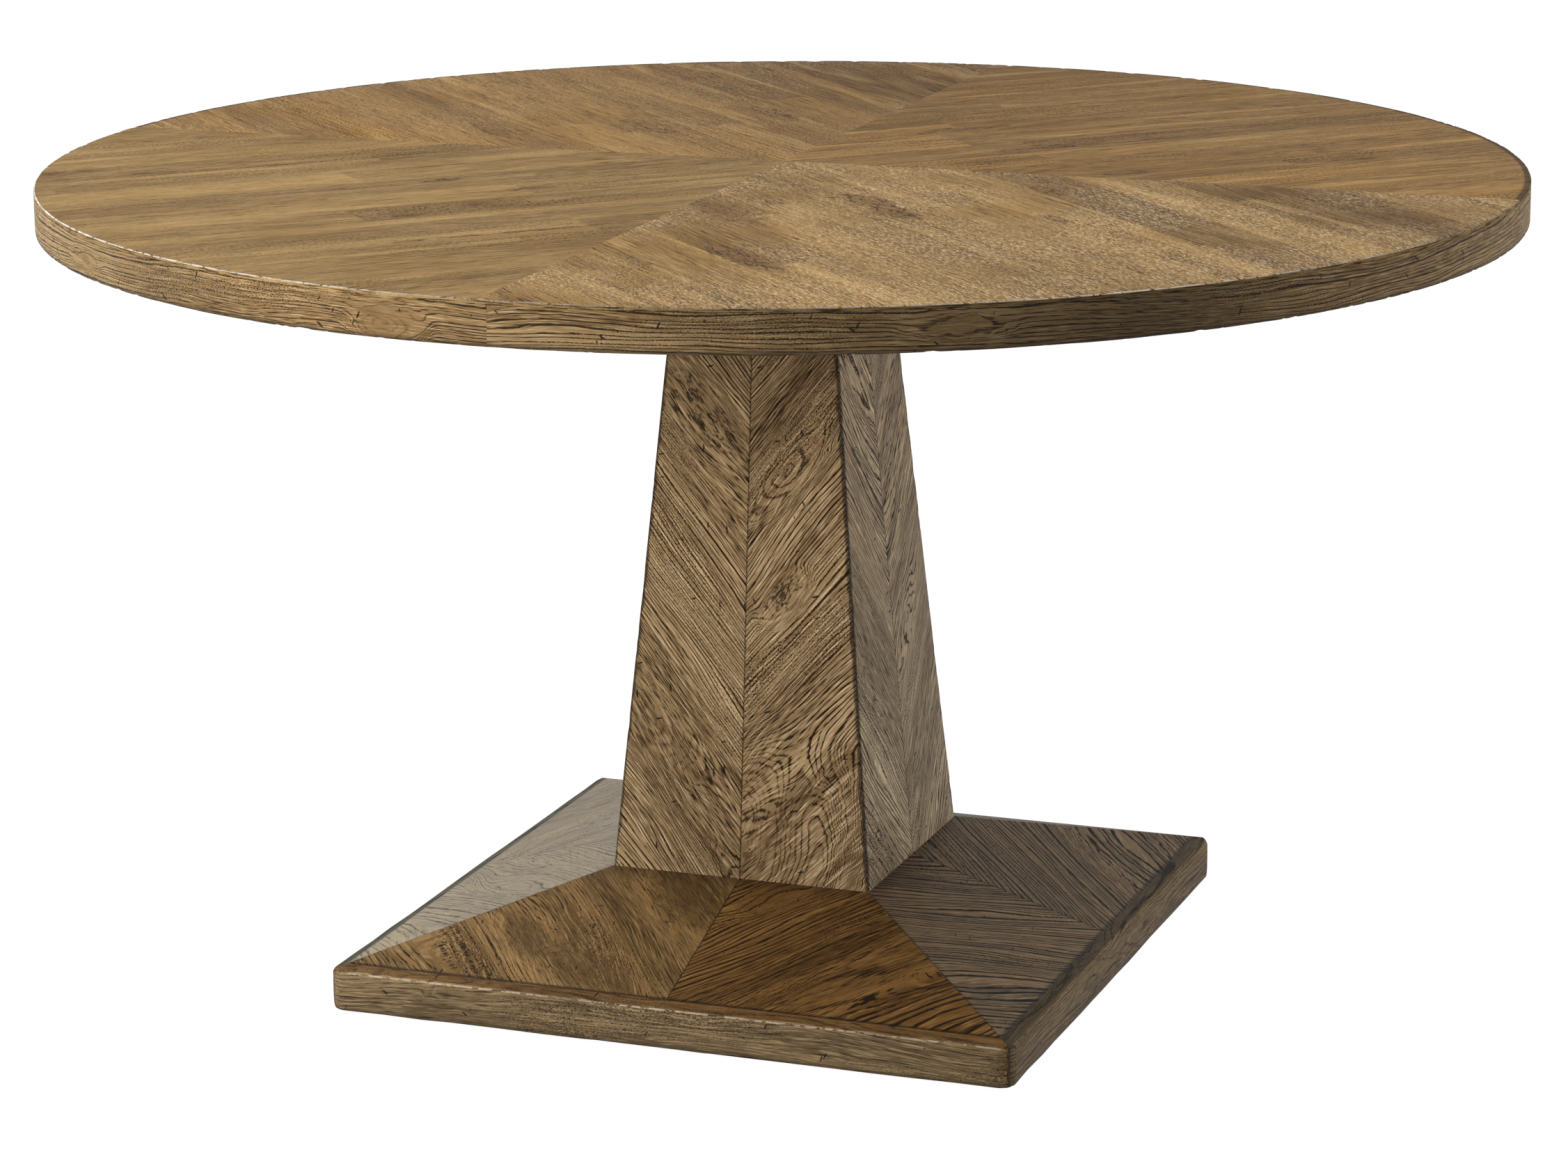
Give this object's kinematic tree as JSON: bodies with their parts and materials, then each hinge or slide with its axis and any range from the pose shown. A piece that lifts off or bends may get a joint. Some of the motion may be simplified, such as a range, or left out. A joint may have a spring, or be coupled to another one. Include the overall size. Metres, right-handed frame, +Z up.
{
  "type": "round pedestal table",
  "caption": "Round dining table with a thick oak-faced top on a square tapered column and a low hipped square foot, standing on screw levelling glides.",
  "frame": {"origin": "on the floor, under the middle of the table", "axes": "+Z up; -Y is the front; the faces of the square column and foot are square to X and Y"},
  "size_m": [1.4, 1.4, 0.77],
  "materials": {
    "top_oak": "wire-brushed oak leaves, golden brown, matt wax",
    "band_oak": "solid oak, brushed and distressed, open dark pores",
    "column_oak": "wire-brushed oak leaves laid in a downward V",
    "base_oak": "wire-brushed oak leaves laid in an outward V, darker",
    "edging_oak": "solid oak, worn edges",
    "plywood": "birch plywood, sealed",
    "beech": "planed beech blocks",
    "black_steel": "black powder coat",
    "zinc_steel": "zinc plated",
    "nylon": "black nylon"
  },
  "bodies": {
    "table": {"base_board": "plywood", "column_board_back": "plywood", "column_board_front": "plywood", "column_board_left": "plywood", "column_board_right": "plywood", "column_foot": "beech", "column_head": "beech", "column_leaf_back_1": "column_oak", "column_leaf_back_2": "column_oak", "column_leaf_front_1": "column_oak", "column_leaf_front_2": "column_oak", "column_leaf_left_1": "column_oak", "column_leaf_left_2": "column_oak", "column_leaf_right_1": "column_oak", "column_leaf_right_2": "column_oak", "corner_blocks": "beech", "edge_band_back_left": "band_oak", "edge_band_back_right": "band_oak", "edge_band_front_left": "band_oak", "edge_band_front_right": "band_oak", "edge_biscuits": "beech", "edging_back": "edging_oak", "edging_front": "edging_oak", "edging_left": "edging_oak", "edging_right": "edging_oak", "head_screws": "zinc_steel", "hip_board_back": "plywood", "hip_board_front": "plywood", "hip_board_left": "plywood", "hip_board_right": "plywood", "hip_leaf_back_1": "base_oak", "hip_leaf_back_2": "base_oak", "hip_leaf_front_1": "base_oak", "hip_leaf_front_2": "base_oak", "hip_leaf_left_1": "base_oak", "hip_leaf_left_2": "base_oak", "hip_leaf_right_1": "base_oak", "hip_leaf_right_2": "base_oak", "hip_ledgers": "beech", "hip_ribs": "beech", "mounting_plate": "black_steel", "tee_nuts": "zinc_steel", "tie_nut": "zinc_steel", "tie_rod": "zinc_steel", "tie_washer": "zinc_steel", "top_bolts": "zinc_steel", "top_core": "plywood", "top_inserts": "zinc_steel", "top_leaf_back_left": "top_oak", "top_leaf_back_right": "top_oak", "top_leaf_front_left": "top_oak", "top_leaf_front_right": "top_oak"},
    "pad_front_right": {"glide_pad_front_right": "nylon"},
    "stud_front_right": {"glide_stud_front_right": "zinc_steel"},
    "pad_back_right": {"glide_pad_back_right": "nylon"},
    "stud_back_right": {"glide_stud_back_right": "zinc_steel"},
    "pad_back_left": {"glide_pad_back_left": "nylon"},
    "stud_back_left": {"glide_stud_back_left": "zinc_steel"},
    "pad_front_left": {"glide_pad_front_left": "nylon"},
    "stud_front_left": {"glide_stud_front_left": "zinc_steel"}
  },
  "joints": [
    {"name": "travel_front_right", "type": "slide", "parent": "table", "child": "pad_front_right", "axis": [0, 0, -1], "range_m": [0, 0.008]},
    {"name": "turn_front_right", "type": "hinge", "parent": "pad_front_right", "child": "stud_front_right", "pos_m": [0.2735, -0.2735, 0], "axis": [0, 0, -1], "range_deg": [0, 2304]},
    {"name": "travel_back_right", "type": "slide", "parent": "table", "child": "pad_back_right", "axis": [0, 0, -1], "range_m": [0, 0.008]},
    {"name": "turn_back_right", "type": "hinge", "parent": "pad_back_right", "child": "stud_back_right", "pos_m": [0.2735, 0.2735, 0], "axis": [0, 0, -1], "range_deg": [0, 2304]},
    {"name": "travel_back_left", "type": "slide", "parent": "table", "child": "pad_back_left", "axis": [0, 0, -1], "range_m": [0, 0.008]},
    {"name": "turn_back_left", "type": "hinge", "parent": "pad_back_left", "child": "stud_back_left", "pos_m": [-0.2735, 0.2735, 0], "axis": [0, 0, -1], "range_deg": [0, 2304]},
    {"name": "travel_front_left", "type": "slide", "parent": "table", "child": "pad_front_left", "axis": [0, 0, -1], "range_m": [0, 0.008]},
    {"name": "turn_front_left", "type": "hinge", "parent": "pad_front_left", "child": "stud_front_left", "pos_m": [-0.2735, -0.2735, 0], "axis": [0, 0, -1], "range_deg": [0, 2304]}
  ],
  "couplings": [
    {"joint": "travel_front_right", "follows": "turn_front_right", "m_per_rad": 0.00019894},
    {"joint": "travel_back_right", "follows": "turn_back_right", "m_per_rad": 0.00019894},
    {"joint": "travel_back_left", "follows": "turn_back_left", "m_per_rad": 0.00019894},
    {"joint": "travel_front_left", "follows": "turn_front_left", "m_per_rad": 0.00019894}
  ]
}
